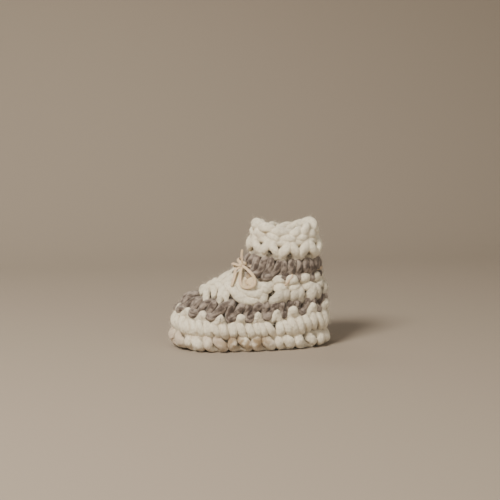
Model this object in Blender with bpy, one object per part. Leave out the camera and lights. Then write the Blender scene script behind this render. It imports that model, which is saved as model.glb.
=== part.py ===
"""A baby's hand-knitted slipper boot, built piece by piece as a maker puts it together.

The upper is one thick garter-knit wall, open at the collar and underneath. It stands on a
knitted sole with a rolled edge, and a felt insole lies inside. A suede tie runs in the
groove round the ankle and ends in a small bow at the front.

The toe points to -X and the heel to +X, +Z is up, and the floor is at Z = 0. The near side,
where the bow's first loop hangs, is -Y. All lengths are in metres.
"""

import math
from collections import namedtuple

import bmesh
import bpy
from mathutils import Vector

MM = 0.001

# Driving sizes of the slipper
LENGTH = 118 * MM  # toe to heel, over the widest ridges
BALL_WIDTH = 60 * MM  # across the ball of the foot, over the ridges
SHAFT_WIDTH = 46 * MM  # across the ankle and collar, over the ridges
HEIGHT = 95 * MM  # floor to the collar's front and back peaks
WALL = 5 * MM  # knitted wall, measured in a groove
RIDGE_RISE = 2.5 * MM  # how far a garter ridge stands out of the wall
SOLE_THICKNESS = 10 * MM  # one garter ridge with its backing
SOLE_ROUNDING = 3 * MM  # how far the rolled edge turns under the tread
INSOLE_THICKNESS = 3 * MM
TOE_SPRING = 1.5 * MM  # lift of the toe's tip
SEAT_GAP = 0.3 * MM  # between two pieces that lie on each other
INSOLE_GAP = 0.6 * MM  # between the insole's edge and the wall
TIE_WIDTH = 2.4 * MM  # thickness of the suede tie
KNOT_WIDTH = 5.4 * MM  # across the bow's knot
TIE_END_LENGTH = 12.5 * MM  # each loose end, from the knot

# Mesh density
AROUND = 52  # columns round the slipper, an even number
ROWS_PER_RIDGE = 4
INNER_ROWS_PER_COURSE = 1
OUTLINE_STEPS = 90  # samples of half an outline, to space its columns evenly
TIE_ROUND_POINTS = 60
TIE_POINTS_PER_SPAN = 3

# The wall in its grooves. Each row is the groove above a course, from the sole's seam up.
# front, widest and back are shares of the groove's length along the slipper, from the toe.
# foot and shaft are shares of the two half widths, and they add up. toe, side and heel are
# shares of the height from the seam to the rim. round_toe and round_heel are the outline's
# superellipse exponents in front of its widest place and behind it.
Groove = namedtuple(
    "Groove", "name front widest back foot shaft toe side heel round_toe round_heel"
)
GROOVES = (
    Groove("seam", 0.000, 0.367, 1.000, 1.000, 0.00, 0.000, 0.000, 0.000, 2.3, 2.9),
    Groove("band", 0.016, 0.376, 1.000, 0.985, 0.00, 0.172, 0.136, 0.203, 2.3, 2.9),
    Groove("edge", 0.068, 0.385, 0.997, 0.945, 0.00, 0.250, 0.246, 0.288, 2.3, 2.8),
    Groove("stripe", 0.173, 0.420, 0.987, 0.890, 0.00, 0.376, 0.343, 0.374, 2.2, 2.6),
    Groove("instep_low", 0.323, 0.527, 0.973, 0.410, 0.55, 0.488, 0.461, 0.471, 2.1, 2.4),
    Groove("instep_high", 0.460, 0.686, 0.960, 0.0, 1.02, 0.612, 0.574, 0.568, 2.1, 2.2),
    Groove("ankle", 0.504, 0.726, 0.947, 0.000, 0.98, 0.745, 0.706, 0.706, 2.0, 2.1),
    Groove("cuff", 0.518, 0.730, 0.942, 0.000, 0.98, 0.872, 0.836, 0.860, 2.0, 2.1),
    Groove("rim", 0.535, 0.730, 0.925, 0.000, 0.91, 1.000, 0.933, 1.000, 2.0, 2.0),
)

# One row for each course between two grooves. rise is a share of the ridge's rise. flap is
# how many ridges the course has across the instep flap, where it has one elsewhere.
Course = namedtuple("Course", "name rise flap wool")
COURSES = (
    Course("band", 1.00, 1, "cream"),
    Course("edge", 0.85, 1, "cream"),
    Course("stripe", 0.95, 1, "grey"),
    Course("instep_low", 1.00, 2, "cream"),
    Course("instep_high", 1.00, 2, "cream"),
    Course("ankle", 0.90, 1, "grey"),
    Course("cuff", 1.15, 1, "cream"),
    Course("rim", 1.10, 1, "cream"),
)
FLAP_EDGE = 0.14  # the instep flap's side, as a share of the way from toe to heel
FLAP_BLEND = 0.05  # half the share over which its ridges turn into the sides' ridges
TIE_GROOVE = 5  # the groove that the tie runs in, above the instep's high course

# The sole's rolled edge, from the tread up. up is a share of the sole's thickness, and out
# a share of the ridge's rise, or of the rounding where it is negative.
SoleRow = namedtuple("SoleRow", "up out")
SOLE_ROWS = (
    SoleRow(0.00, -1.00),
    SoleRow(0.10, -0.35),
    SoleRow(0.28, 0.55),
    SoleRow(0.52, 1.00),
    SoleRow(0.78, 0.70),
    SoleRow(1.00, 0.00),
)
CAP_SHARES = (0.70, 0.38)  # rings of a flat face, as shares of its outline
SPRING_START = 0.30  # the toe spring starts here, as a share of the length
INSOLE_EDGE = 0.25  # its top edge's rounding, as a share of its thickness

# The bow's knot and loops on the surface: share of the way from toe to heel, course, and
# lift in thicknesses of the tie. The knot sits just off the middle, on the near side.
SurfacePoint = namedtuple("SurfacePoint", "along course lift")
KNOT_PLACE = SurfacePoint(0.130, 4.72, 0.0)
NEAR_LOOP = (
    SurfacePoint(0.185, 4.66, 0.90),
    SurfacePoint(0.235, 4.55, 0.50),
    SurfacePoint(0.285, 4.38, 0.32),
    SurfacePoint(0.328, 4.12, 0.30),
    SurfacePoint(0.340, 3.86, 0.30),
    SurfacePoint(0.318, 3.69, 0.30),
    SurfacePoint(0.283, 3.72, 0.30),
    SurfacePoint(0.247, 3.93, 0.30),
    SurfacePoint(0.218, 4.15, 0.36),
    SurfacePoint(0.182, 4.39, 0.66),
)
FAR_LOOP = (
    SurfacePoint(0.005, 4.94, 0.85),
    SurfacePoint(0.085, 5.00, 0.62),
    SurfacePoint(0.155, 4.98, 0.42),
    SurfacePoint(0.225, 4.84, 0.32),
    SurfacePoint(0.285, 4.58, 0.30),
    SurfacePoint(0.328, 4.24, 0.30),
    SurfacePoint(0.332, 3.94, 0.30),
    SurfacePoint(0.300, 3.76, 0.30),
    SurfacePoint(0.262, 3.84, 0.30),
    SurfacePoint(0.232, 4.10, 0.30),
    SurfacePoint(0.195, 4.36, 0.30),
    SurfacePoint(0.135, 4.54, 0.40),
    SurfacePoint(0.060, 4.62, 0.62),
    SurfacePoint(-0.005, 4.62, 0.86),
)
# The loose ends, from the knot's middle, in lengths of an end. The first stands up beside
# the ankle, and the second lies down along the near side of the instep.
STANDING_END = ((0.01, -0.02, 0.30), (-0.02, -0.04, 0.64), (0.02, -0.05, 1.00))
LYING_END = (
    SurfacePoint(0.126, 4.42, 0.78),
    SurfacePoint(0.170, 4.16, 0.44),
    SurfacePoint(0.203, 3.86, 0.32),
    SurfacePoint(0.232, 3.56, 0.32),
)
KNOT_SHAPE = (1.00, 1.04, 0.98)

# Materials: linear colour and roughness
CREAM = (0.74, 0.68, 0.55)
GREY = (0.19, 0.14, 0.11)
FELT = (0.62, 0.56, 0.45)
SUEDE = (0.60, 0.42, 0.27)
WOOL_ROUGHNESS = 0.95
SUEDE_ROUGHNESS = 0.85

SEAM_HEIGHT = SOLE_THICKNESS + SEAT_GAP
NEAR, FAR = -1, 1


def clear_scene():
    """Removes every object, so that the model starts empty."""
    for thing in list(bpy.data.objects):
        bpy.data.objects.remove(thing, do_unlink=True)


def make_material(name, colour, roughness):
    """A plain material with one colour."""
    material = bpy.data.materials.new(name)
    material.use_nodes = True
    shader = material.node_tree.nodes["Principled BSDF"]
    shader.inputs["Base Color"].default_value = (*colour, 1.0)
    shader.inputs["Roughness"].default_value = roughness
    shader.inputs["Metallic"].default_value = 0.0
    material.diffuse_color = (*colour, 1.0)
    return material


def smoothed(share):
    """0 to 1, with no kink at either end."""
    share = min(1.0, max(0.0, share))
    return share * share * (3 - 2 * share)


def through(values, at):
    """A smooth curve through evenly spaced values, read at a place counted from the first."""
    last = len(values) - 1
    i = min(last - 1, max(0, math.floor(at)))
    t = at - i
    p1, p2 = values[i], values[i + 1]
    p0 = values[i - 1] if i > 0 else 2 * p1 - p2
    p3 = values[i + 2] if i + 2 <= last else 2 * p2 - p1
    bend = 2 * p0 - 5 * p1 + 4 * p2 - p3
    twist = 3 * p1 - p0 - 3 * p2 + p3
    return 0.5 * (2 * p1 + (p2 - p0) * t + bend * t * t + twist * t * t * t)


def groove_value(column, course):
    """One column of the table of grooves, read between its rows."""
    return through([getattr(groove, column) for groove in GROOVES], course)


def groove_outline(course):
    """Half an outline in plan, from toe to heel, as points (x, y) with y outwards."""
    length = LENGTH - 2 * RIDGE_RISE
    start = -length / 2
    front = start + length * groove_value("front", course)
    widest = start + length * groove_value("widest", course)
    back = start + length * groove_value("back", course)
    half_width = groove_value("foot", course) * (BALL_WIDTH / 2 - RIDGE_RISE)
    half_width += groove_value("shaft", course) * (SHAFT_WIDTH / 2 - RIDGE_RISE)
    toe_half = (widest - front, 2 / groove_value("round_toe", course))
    heel_half = (back - widest, 2 / groove_value("round_heel", course))
    points = []
    for step in range(OUTLINE_STEPS + 1):
        angle = math.pi * step / OUTLINE_STEPS
        reach, power = toe_half if angle <= math.pi / 2 else heel_half
        cosine = math.cos(angle)
        x = widest - math.copysign(abs(cosine) ** power, cosine) * reach
        y = half_width * max(0.0, math.sin(angle)) ** power
        points.append((x, y))
    return points


OUTLINES = {}


def outline_point(along, course):
    """The point (x, y) that lies a share of the way from toe to heel along an outline."""
    key = round(course, 6)
    if key not in OUTLINES:
        points = groove_outline(key)
        lengths = [0.0]
        for a, b in zip(points, points[1:]):
            lengths.append(lengths[-1] + math.dist(a, b))
        OUTLINES[key] = (points, lengths)
    points, lengths = OUTLINES[key]
    wanted = min(1.0, max(0.0, along)) * lengths[-1]
    i = 1
    while i < len(lengths) - 1 and lengths[i] < wanted:
        i += 1
    t = (wanted - lengths[i - 1]) / (lengths[i] - lengths[i - 1])
    (x0, y0), (x1, y1) = points[i - 1], points[i]
    return x0 + (x1 - x0) * t, y0 + (y1 - y0) * t


def groove_height(along, course):
    """Height of the wall's surface: peaks at toe and heel, and a dip at the sides."""
    side = groove_value("side", course)
    end = groove_value("toe" if along <= 0.5 else "heel", course)
    share = side + (end - side) * math.cos(math.pi * along) ** 2
    return SEAM_HEIGHT + share * (HEIGHT - WALL / 2 - SEAM_HEIGHT)


def wall_point(along, side, course):
    """A point on the wall's smooth surface, before its ridges."""
    x, y = outline_point(along, course)
    return Vector((x, side * y, groove_height(along, course)))


def wall_axes(along, side, course):
    """The outward normal of the wall's surface, and the direction up along it."""
    step = 0.01
    a0, a1 = max(0.0, along - step), min(1.0, along + step)
    c0, c1 = max(0.0, course - step), min(len(COURSES), course + step)
    sideways = wall_point(a1, side, course) - wall_point(a0, side, course)
    if a0 == 0.0 or a1 == 1.0:
        sideways = Vector((0.0, side * (1 if a0 == 0.0 else -1), 0.0))
    up = (wall_point(along, side, c1) - wall_point(along, side, c0)).normalized()
    out = sideways.cross(up) * -side
    if course <= 0:
        out.z = 0.0
    return out.normalized(), up


def ridge_rise(along, course):
    """How far the ridges stand out of the wall."""
    i = min(len(COURSES) - 1, math.floor(course))
    share = course - i
    plain = abs(math.sin(math.pi * share))
    flap = abs(math.sin(math.pi * share * COURSES[i].flap))
    on_sides = smoothed((along - FLAP_EDGE + FLAP_BLEND) / (2 * FLAP_BLEND))
    return RIDGE_RISE * COURSES[i].rise * (flap + (plain - flap) * on_sides)


def surface_point(along, side, course, lift):
    """A point that lies a lift above the ridges' crests."""
    out, _ = wall_axes(along, side, course)
    return wall_point(along, side, course) + out * (RIDGE_RISE + lift)


def columns():
    """The share of the way from toe to heel, and the side, of each column of the mesh."""
    half = AROUND // 2
    near = [(step / half, NEAR) for step in range(half + 1)]
    far = [(1 - step / half, FAR) for step in range(1, half)]
    return near + far


def toe_lift(x):
    """The toe spring: nothing from the ball back, then a smooth rise to the tip."""
    start = LENGTH * (SPRING_START - 0.5)
    return TOE_SPRING * max(0.0, (start - x) / (LENGTH * SPRING_START)) ** 2


def loft(name, rings, materials, closed=False, material_of_row=None):
    """Joins rings of points with faces. An open loft gets caps of shrinking rings."""
    mesh = bmesh.new()
    rows = [[mesh.verts.new(point) for point in ring] for ring in rings]
    pairs = list(zip(rows, rows[1:]))
    if closed:
        pairs.append((rows[-1], rows[0]))
    for number, (lower, upper) in enumerate(pairs):
        for j in range(len(lower)):
            k = (j + 1) % len(lower)
            face = mesh.faces.new((lower[j], lower[k], upper[k], upper[j]))
            if material_of_row:
                face.material_index = material_of_row[number % len(material_of_row)]
    if not closed:
        cap(mesh, rows[0])
        cap(mesh, rows[-1])
    for vertex in mesh.verts:
        vertex.co.z += toe_lift(vertex.co.x)
    mesh.normal_update()
    bmesh.ops.recalc_face_normals(mesh, faces=mesh.faces)
    data = bpy.data.meshes.new(name)
    mesh.to_mesh(data)
    mesh.free()
    return add_object(name, data, materials)


def cap(mesh, outer):
    """Closes a level outline with rings that shrink towards its middle."""
    middle = sum((vertex.co for vertex in outer), Vector()) / len(outer)
    for share in CAP_SHARES:
        inner = [mesh.verts.new(middle + (v.co - middle) * share) for v in outer]
        for j in range(len(outer)):
            k = (j + 1) % len(outer)
            mesh.faces.new((outer[j], outer[k], inner[k], inner[j]))
        outer = inner
    centre = mesh.verts.new(middle)
    for j in range(len(outer)):
        mesh.faces.new((outer[j], outer[(j + 1) % len(outer)], centre))


def add_object(name, data, materials):
    """Links an object to the slipper's collection, shaded smooth."""
    thing = bpy.data.objects.new(name, data)
    for material in materials:
        data.materials.append(material)
    bpy.data.collections["knitted_slipper"].objects.link(thing)
    if thing.type == "MESH":
        data.shade_smooth()
        data.set_sharp_from_angle(angle=math.radians(60))
    return thing


def course_steps():
    """Where each row of the outer wall lies, counted in courses, with its wool."""
    steps, wools = [], []
    for i, course in enumerate(COURSES):
        rows = ROWS_PER_RIDGE * course.flap
        steps += [i + row / rows for row in range(rows)]
        wools += [0 if course.wool == "cream" else 1] * rows
    return steps + [float(len(COURSES))], wools


def build_upper(cream, grey):
    """The knitted wall: ridged outside, plain inside, round at the rim."""
    steps, wools = course_steps()
    rings = []
    for course in steps:
        ring = []
        for along, side in columns():
            out, _ = wall_axes(along, side, course)
            rise = ridge_rise(along, course)
            ring.append(wall_point(along, side, course) + out * rise)
        rings.append(ring)
    top = float(len(COURSES))
    for angle in (math.radians(45), math.radians(90), math.radians(135)):
        ring = []
        for along, side in columns():
            out, up = wall_axes(along, side, top)
            turn = out * (math.cos(angle) - 1) + up * math.sin(angle)
            ring.append(wall_point(along, side, top) + turn * WALL / 2)
        rings.append(ring)
    inner = INNER_ROWS_PER_COURSE * len(COURSES)
    for row in range(inner, -1, -1):
        course = row / INNER_ROWS_PER_COURSE
        ring = []
        for along, side in columns():
            out, _ = wall_axes(along, side, course)
            ring.append(wall_point(along, side, course) - out * WALL)
        rings.append(ring)
    wools += [0] * (len(rings) - len(wools))
    return loft("upper", rings, (cream, grey), closed=True, material_of_row=wools)


def seam_ring(out_by, height):
    """The seam's outline, moved outwards in plan and set at a height."""
    ring = []
    for along, side in columns():
        out, _ = wall_axes(along, side, 0.0)
        point = wall_point(along, side, 0.0) + out * out_by
        ring.append(Vector((point.x, point.y, height)))
    return ring


def build_sole(cream):
    """The knitted sole, with its rolled edge and level tread."""
    rings = []
    for row in SOLE_ROWS:
        out_by = row.out * (RIDGE_RISE if row.out > 0 else SOLE_ROUNDING)
        rings.append(seam_ring(out_by, row.up * SOLE_THICKNESS))
    return loft("sole", rings, (cream,))


def build_insole(felt):
    """The felt insole, lying on the sole inside the wall."""
    low = SOLE_THICKNESS + SEAT_GAP
    edge = -(WALL + INSOLE_GAP)
    rounding = INSOLE_EDGE * INSOLE_THICKNESS
    rings = [
        seam_ring(edge, low),
        seam_ring(edge, low + INSOLE_THICKNESS - rounding),
        seam_ring(edge - rounding, low + INSOLE_THICKNESS),
    ]
    return loft("insole", rings, (felt,))


def build_cord(name, points, suede, closed=False):
    """A round cord along points."""
    data = bpy.data.curves.new(name, "CURVE")
    data.dimensions = "3D"
    data.bevel_depth = TIE_WIDTH / 2
    data.bevel_resolution = 2
    data.use_fill_caps = True
    spline = data.splines.new("POLY")
    spline.points.add(len(points) - 1)
    for place, point in zip(spline.points, points):
        place.co = (*point, 1.0)
    spline.use_cyclic_u = closed
    return add_object(name, data, (suede,))


def smooth_route(points):
    """Evenly spread points on a smooth curve through a route's own points."""
    spans = (len(points) - 1) * TIE_POINTS_PER_SPAN
    route = []
    for step in range(spans + 1):
        at = step / TIE_POINTS_PER_SPAN
        route.append(Vector([through([p[axis] for p in points], at) for axis in range(3)]))
    return route


def build_tie_round(suede):
    """The stretch of the tie that lies in the groove round the ankle."""
    points = []
    for step in range(TIE_ROUND_POINTS):
        turn = 2 * step / TIE_ROUND_POINTS
        along, side = (turn, NEAR) if turn <= 1 else (2 - turn, FAR)
        out, _ = wall_axes(along, side, TIE_GROOVE)
        lift = TIE_WIDTH / 2 + tie_bed()
        points.append(wall_point(along, side, TIE_GROOVE) + out * lift)
    return build_cord("tie_round", points, suede, closed=True)


def tie_bed():
    """How far the tie lies off the groove's floor, so that both ridges clear its sides."""
    return SEAT_GAP + TIE_WIDTH / 5


def knot_centre():
    """The middle of the bow's knot, on the ridge just below the tie."""
    lift = SEAT_GAP + KNOT_WIDTH / 2
    return surface_point(KNOT_PLACE.along, NEAR, KNOT_PLACE.course, lift)


def build_knot(suede):
    """The bow's knot: a squashed ball of folded suede."""
    mesh = bmesh.new()
    bmesh.ops.create_uvsphere(mesh, u_segments=12, v_segments=8, radius=KNOT_WIDTH / 2)
    out, up = wall_axes(KNOT_PLACE.along, NEAR, KNOT_PLACE.course)
    across = up.cross(out)
    for vertex in mesh.verts:
        x, y, z = vertex.co
        vertex.co = out * x + across * y * KNOT_SHAPE[1] + up * z * KNOT_SHAPE[2]
    mesh.normal_update()
    bmesh.ops.recalc_face_normals(mesh, faces=mesh.faces)
    data = bpy.data.meshes.new("tie_knot")
    mesh.to_mesh(data)
    mesh.free()
    knot = add_object("tie_knot", data, (suede,))
    knot.location = knot_centre()
    return knot


def clear_of_knot(route):
    """The route cut off where it reaches the knot, at one end or at both."""
    centre = knot_centre()
    keep_off = KNOT_WIDTH / 2 * max(KNOT_SHAPE) + SEAT_GAP
    kept = []
    for a, b in zip(route, route[1:]):
        near_a, near_b = ((p - centre).length for p in (a, b))
        if near_a >= keep_off:
            kept.append(a)
        if (near_a < keep_off) != (near_b < keep_off):
            kept.append(a.lerp(b, (keep_off - near_a) / (near_b - near_a)))
    if (route[-1] - centre).length >= keep_off:
        kept.append(route[-1])
    return kept


def build_loop(name, side, places, suede):
    """A loop of the bow, from the knot and back, hanging on one side of the instep."""
    points = [
        surface_point(p.along, side, p.course, p.lift * TIE_WIDTH + TIE_WIDTH / 2)
        for p in places
    ]
    route = smooth_route([knot_centre(), *points, knot_centre()])
    return build_cord(name, clear_of_knot(route), suede)


def build_ends(suede):
    """The two loose ends: one stands up in front of the ankle, one lies down."""
    centre = knot_centre()
    standing = [centre] + [centre + Vector(p) * TIE_END_LENGTH for p in STANDING_END]
    build_cord("tie_end_standing", clear_of_knot(smooth_route(standing)), suede)
    lying = [centre] + [
        surface_point(p.along, NEAR, p.course, p.lift * TIE_WIDTH + TIE_WIDTH / 2)
        for p in LYING_END
    ]
    build_cord("tie_end_lying", clear_of_knot(smooth_route(lying)), suede)


def main():
    """Builds the whole slipper."""
    clear_scene()
    collection = bpy.data.collections.new("knitted_slipper")
    bpy.context.scene.collection.children.link(collection)
    cream = make_material("wool_cream", CREAM, WOOL_ROUGHNESS)
    grey = make_material("wool_grey", GREY, WOOL_ROUGHNESS)
    felt = make_material("felt", FELT, WOOL_ROUGHNESS)
    suede = make_material("suede", SUEDE, SUEDE_ROUGHNESS)
    build_sole(cream)
    build_upper(cream, grey)
    build_insole(felt)
    build_tie_round(suede)
    build_knot(suede)
    build_loop("tie_loop_near", NEAR, NEAR_LOOP, suede)
    build_loop("tie_loop_far", FAR, FAR_LOOP, suede)
    build_ends(suede)


main()
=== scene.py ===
"""A baby's hand-knitted slipper boot, dressed over its construction model.

Every row of the knitting is a strand of yarn that runs in loops round the slipper's form, and
its loops reach into the rows above and below. The suede tie, the felt insole and the wool's
loose fibres are separate pieces.
"""

import logging
import math
from dataclasses import dataclass, field
from enum import Enum
from typing import NamedTuple

import bpy
import numpy as np
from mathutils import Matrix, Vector

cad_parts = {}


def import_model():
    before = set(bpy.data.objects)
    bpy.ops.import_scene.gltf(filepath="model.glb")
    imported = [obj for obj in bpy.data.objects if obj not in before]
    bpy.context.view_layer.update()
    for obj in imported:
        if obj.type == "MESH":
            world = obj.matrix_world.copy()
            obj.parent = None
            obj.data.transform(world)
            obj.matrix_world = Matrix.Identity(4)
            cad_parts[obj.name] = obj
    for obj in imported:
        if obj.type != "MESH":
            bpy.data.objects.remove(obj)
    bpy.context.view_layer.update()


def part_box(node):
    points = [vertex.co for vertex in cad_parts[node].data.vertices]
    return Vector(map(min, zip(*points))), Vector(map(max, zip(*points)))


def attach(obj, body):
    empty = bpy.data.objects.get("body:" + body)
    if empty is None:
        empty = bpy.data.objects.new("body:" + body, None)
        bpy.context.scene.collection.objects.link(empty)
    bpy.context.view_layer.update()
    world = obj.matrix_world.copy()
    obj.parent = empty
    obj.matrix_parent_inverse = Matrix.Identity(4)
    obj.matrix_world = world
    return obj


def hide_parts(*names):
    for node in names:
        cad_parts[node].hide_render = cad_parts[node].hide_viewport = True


MM = 0.001
BODY = "root"
LOG = logging.getLogger("knitted_slipper")
LOWEST_YARN = 0.15 * MM  # above the floor
LOWEST_FIBRE = 0.2 * MM

RING_TURNS = np.arange(128) / 128  # of the points round a backing or the insole

Triple = tuple[float, float, float]
Colour = tuple[float, float, float, float]


class Wool(Enum):
    """The two wools, by the record's material slot."""

    CREAM = "wool_cream"
    GREY = "wool_grey"


class Side(Enum):
    """The two sides of the slipper, by the sign of Y."""

    NEAR = -1
    FAR = 1


class Groove(NamedTuple):
    """The wall's surface in the groove above a course, in shares of the slipper's sizes."""

    front: float
    widest: float
    back: float
    foot: float
    shaft: float
    toe: float
    side: float
    heel: float
    round_toe: float
    round_heel: float


# front, widest and back are shares of the groove's length, foot and shaft of the two half
# widths, and toe, side and heel of the height from the seam to the rim. round_toe and
# round_heel are superellipse exponents. The rows run from the sole's seam up to the rim.
GROOVES = (
    Groove(0.000, 0.367, 1.000, 1.000, 0.00, 0.000, 0.000, 0.000, 2.3, 2.9),
    Groove(0.016, 0.376, 1.000, 0.985, 0.00, 0.172, 0.136, 0.203, 2.3, 2.9),
    Groove(0.068, 0.385, 0.997, 0.945, 0.00, 0.250, 0.246, 0.288, 2.3, 2.8),
    Groove(0.173, 0.420, 0.987, 0.890, 0.00, 0.376, 0.343, 0.374, 2.2, 2.6),
    Groove(0.323, 0.527, 0.973, 0.410, 0.55, 0.488, 0.461, 0.471, 2.1, 2.4),
    Groove(0.460, 0.686, 0.960, 0.000, 1.02, 0.612, 0.574, 0.568, 2.1, 2.2),
    Groove(0.504, 0.726, 0.947, 0.000, 0.98, 0.745, 0.706, 0.706, 2.0, 2.1),
    Groove(0.518, 0.730, 0.942, 0.000, 0.98, 0.872, 0.836, 0.860, 2.0, 2.1),
    Groove(0.535, 0.730, 0.925, 0.000, 0.91, 1.000, 0.933, 1.000, 2.0, 2.0),
)


class EdgePoint(NamedTuple):
    """A point on the sole's rolled edge: height up, and how far out it stands."""

    up: float
    out: float


SOLE_EDGE = (
    EdgePoint(0.0 * MM, -3.0 * MM),
    EdgePoint(1.0 * MM, -1.0 * MM),
    EdgePoint(2.8 * MM, 1.4 * MM),
    EdgePoint(5.2 * MM, 2.5 * MM),
    EdgePoint(7.8 * MM, 2.0 * MM),
    EdgePoint(12.0 * MM, 0.9 * MM),
)


class SurfacePoint(NamedTuple):
    """A point of the tie: share of the way from toe to heel, course, and lift in widths."""

    along: float
    course: float
    lift: float


class Layers(NamedTuple):
    """How far out each part of a loop lies: about -1 inside the wall to 1 outside."""

    head: float
    upper_leg: float
    lower_leg: float
    foot: float


LEGS_OUT = Layers(-1.0, 1.0, 1.0, -1.0)
ROLLED_LEGS = Layers(-0.2, 1.0, 1.0, -0.5)
BAND_LEGS = Layers(0.1, 1.0, 1.0, -1.0)
CUFF_LEGS = Layers(0.1, 1.0, 1.0, -0.9)
BUMPS_OUT = Layers(0.7, -0.5, -1.0, 1.0)
KNOBS_OUT = Layers(1.1, 0.6, -0.1, -1.0)
FEET_OUT = Layers(-1.2, 0.8, 0.1, 0.8)


class LaidStrand(NamedTuple):
    """A strand of the instep flap: its width, how much narrower its last end is, and its
    points, each by share of the way from toe to heel, course and lift."""

    wide: float
    taper: float
    points: tuple[Triple, ...]


def tie_places(*points: Triple) -> tuple[SurfacePoint, ...]:
    """A route of the tie, each point by its share of the way, course and lift in widths."""
    return tuple(SurfacePoint(*point) for point in points)


# Lifts are in millimetres outside the grooves' surface. The far side mirrors these.
FLAP_STRANDS = (
    LaidStrand(6.6 * MM, 0.35, (
        (0.030, 3.34, 0.2), (0.064, 3.16, 2.4), (0.118, 2.90, 3.0), (0.158, 2.50, 0.4),
    )),
    LaidStrand(6.4 * MM, 0.30, (
        (0.052, 3.52, 0.2), (0.096, 3.40, 2.5), (0.142, 3.20, 2.6), (0.176, 2.92, 0.2),
    )),
    LaidStrand(7.6 * MM, 0.40, (
        (0.130, 3.66, 0.2), (0.176, 3.42, 2.9), (0.214, 3.00, 3.3), (0.234, 2.46, 0.4),
    )),
    LaidStrand(5.6 * MM, 0.40, (
        (0.196, 3.40, 0.8), (0.232, 3.18, 2.7), (0.262, 2.86, 2.7), (0.284, 2.50, 0.4),
    )),
    LaidStrand(6.0 * MM, 0.30, (
        (0.010, 3.50, 0.2), (0.014, 3.30, 1.8), (0.018, 3.06, 1.9), (0.020, 2.78, 0.0),
    )),
    LaidStrand(6.4 * MM, 0.00, (
        (0.012, 3.70, 0.4), (0.056, 3.66, 2.1), (0.104, 3.60, 2.4), (0.158, 3.48, 0.4),
    )),
    LaidStrand(6.8 * MM, 0.00, (
        (0.104, 4.00, 0.4), (0.144, 3.84, 2.4), (0.188, 3.66, 2.7), (0.236, 3.44, 0.4),
    )),
    LaidStrand(6.4 * MM, 0.00, (
        (0.014, 3.62, 0.2), (0.018, 3.92, 2.0), (0.022, 4.28, 2.5), (0.026, 4.66, 2.4),
        (0.020, 5.00, 0.4),
    )),
    LaidStrand(7.2 * MM, 0.00, (
        (0.080, 3.70, 0.2), (0.092, 3.96, 2.0), (0.100, 4.30, 2.4), (0.094, 4.60, 2.0),
        (0.072, 4.94, 0.0),
    )),
    LaidStrand(7.0 * MM, 0.00, (
        (0.150, 4.74, 0.2), (0.172, 4.40, 1.8), (0.196, 4.00, 2.2), (0.234, 3.62, 2.8),
        (0.292, 3.32, 3.4), (0.372, 2.94, 3.7), (0.440, 2.80, 3.0), (0.484, 3.12, 0.2),
    )),
    LaidStrand(7.4 * MM, 0.00, (
        (0.206, 4.50, 0.2), (0.240, 4.06, 1.9), (0.290, 3.72, 3.0), (0.360, 3.46, 3.5),
        (0.424, 3.34, 3.2), (0.464, 3.66, 0.4),
    )),
    LaidStrand(7.2 * MM, 0.00, (
        (0.256, 4.56, 0.4), (0.300, 4.16, 2.0), (0.366, 3.92, 2.8), (0.430, 3.90, 2.4),
        (0.474, 4.18, 0.2),
    )),
)
KNOT_PLACE = SurfacePoint(0.130, 4.72, 0.0)
NEAR_LOOP = tie_places(
    (0.185, 4.66, 0.90), (0.235, 4.55, 0.50), (0.285, 4.38, 0.32), (0.328, 4.12, 0.30),
    (0.340, 3.86, 0.30), (0.318, 3.69, 0.30), (0.283, 3.72, 0.30), (0.247, 3.93, 0.30),
    (0.218, 4.15, 0.36), (0.182, 4.39, 0.66),
)
FAR_LOOP = tie_places(
    (0.005, 4.94, 0.85), (0.085, 5.00, 0.62), (0.155, 4.98, 0.42), (0.225, 4.84, 0.32),
    (0.285, 4.58, 0.30), (0.328, 4.24, 0.30), (0.332, 3.94, 0.30), (0.300, 3.76, 0.30),
    (0.262, 3.84, 0.30), (0.232, 4.10, 0.30), (0.195, 4.36, 0.30), (0.135, 4.54, 0.40),
    (0.060, 4.62, 0.62), (-0.005, 4.62, 0.86),
)
STANDING_END = ((0.01, -0.02, 0.30), (-0.02, -0.04, 0.64), (0.02, -0.05, 1.00))
LYING_END = tie_places(
    (0.126, 4.42, 0.78), (0.170, 4.16, 0.44), (0.203, 3.86, 0.32), (0.232, 3.56, 0.32),
)


def unit(vectors: np.ndarray) -> np.ndarray:
    """Rows of vectors, each made one unit long."""
    return vectors / np.maximum(np.linalg.norm(vectors, axis=-1, keepdims=True), 1e-12)


def eased(share: np.ndarray) -> np.ndarray:
    """0 to 1 with no kink at either end."""
    held = np.clip(share, 0.0, 1.0)
    return held * held * (3.0 - 2.0 * held)


def wander(count: int, knots: int, rng: np.random.Generator) -> np.ndarray:
    """Slow random variation round a closed ring.

    Args:
        count: How many values to give.
        knots: How many independent random values lie round the ring.
        rng: The seeded random source.

    Returns:
        Values of about -1 to 1 that meet at the ends.
    """
    heights = rng.uniform(-1.0, 1.0, knots)
    at = np.linspace(0.0, knots, count, endpoint=False)
    low = np.floor(at).astype(int)
    share = eased(at - low)
    return heights[low % knots] * (1 - share) + heights[(low + 1) % knots] * share


def curve_point(
    before: np.ndarray, start: np.ndarray, end: np.ndarray, after: np.ndarray, t: float
) -> np.ndarray:
    """A point on the smooth curve between two of four points in a row.

    Args:
        before: The point before the stretch.
        start: Where the stretch starts.
        end: Where it ends.
        after: The point after it.
        t: How far along the stretch, from 0 to 1.

    Returns:
        The curve's point.
    """
    bend = 2 * before - 5 * start + 4 * end - after
    turn = 3 * start - before - 3 * end + after
    return 0.5 * (2 * start + (end - before) * t + bend * t**2 + turn * t**3)


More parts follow.
